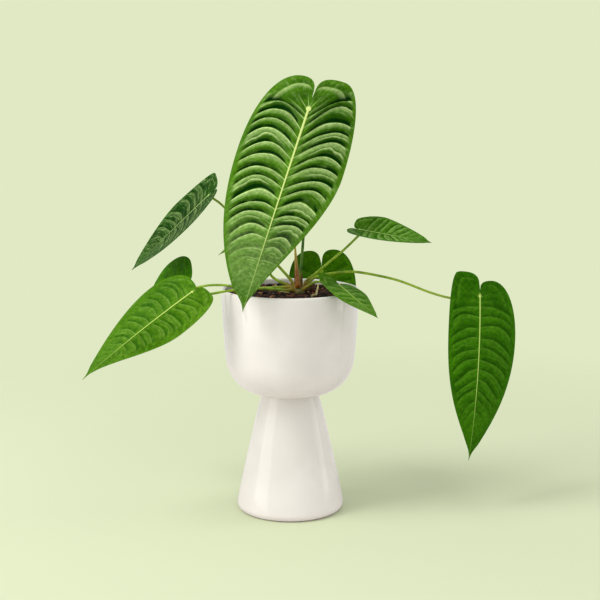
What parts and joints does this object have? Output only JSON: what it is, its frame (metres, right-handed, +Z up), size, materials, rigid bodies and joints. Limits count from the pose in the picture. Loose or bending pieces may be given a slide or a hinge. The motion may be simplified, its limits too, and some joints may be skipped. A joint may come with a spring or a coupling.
{
  "type": "potted king anthurium",
  "caption": "Leafy aroid with long pleated heart-shaped leaves on arching stalks, in a white glazed bowl on a tapered stand",
  "frame": {"origin": "middle of the stand's flat underside, on the axis of the planter", "axes": "+Z up along the planter's axis, -Y towards the front of the plant, where the largest leaf hangs, +X to its right"},
  "size_m": [0.552, 0.262, 0.5719],
  "materials": {
    "white_glaze": "gloss",
    "soil": "matte",
    "dark_leaf": "satin",
    "bright_leaf": "satin",
    "stalk": "satin",
    "shoot": "satin",
    "sheath": "matte",
    "root": "matte"
  },
  "bodies": {
    "root": {"planter_stand": "white_glaze", "planter_bowl": "white_glaze", "soil": "soil", "crown": "stalk", "leaf_1": "dark_leaf", "leaf_2": "dark_leaf", "leaf_3": "dark_leaf", "leaf_4": "bright_leaf", "leaf_5": "dark_leaf", "leaf_6": "dark_leaf", "leaf_7": "bright_leaf", "leaf_8": "dark_leaf", "leaf_9": "bright_leaf", "stalk_1": "stalk", "stalk_2": "stalk", "stalk_3": "stalk", "stalk_4": "stalk", "stalk_5": "stalk", "stalk_6": "stalk", "stalk_7": "stalk", "stalk_8": "stalk", "stalk_9": "stalk", "new_shoot": "shoot", "dried_sheath_1": "sheath", "dried_sheath_2": "sheath", "root_1": "root", "root_2": "root"}
  },
  "joints": []
}
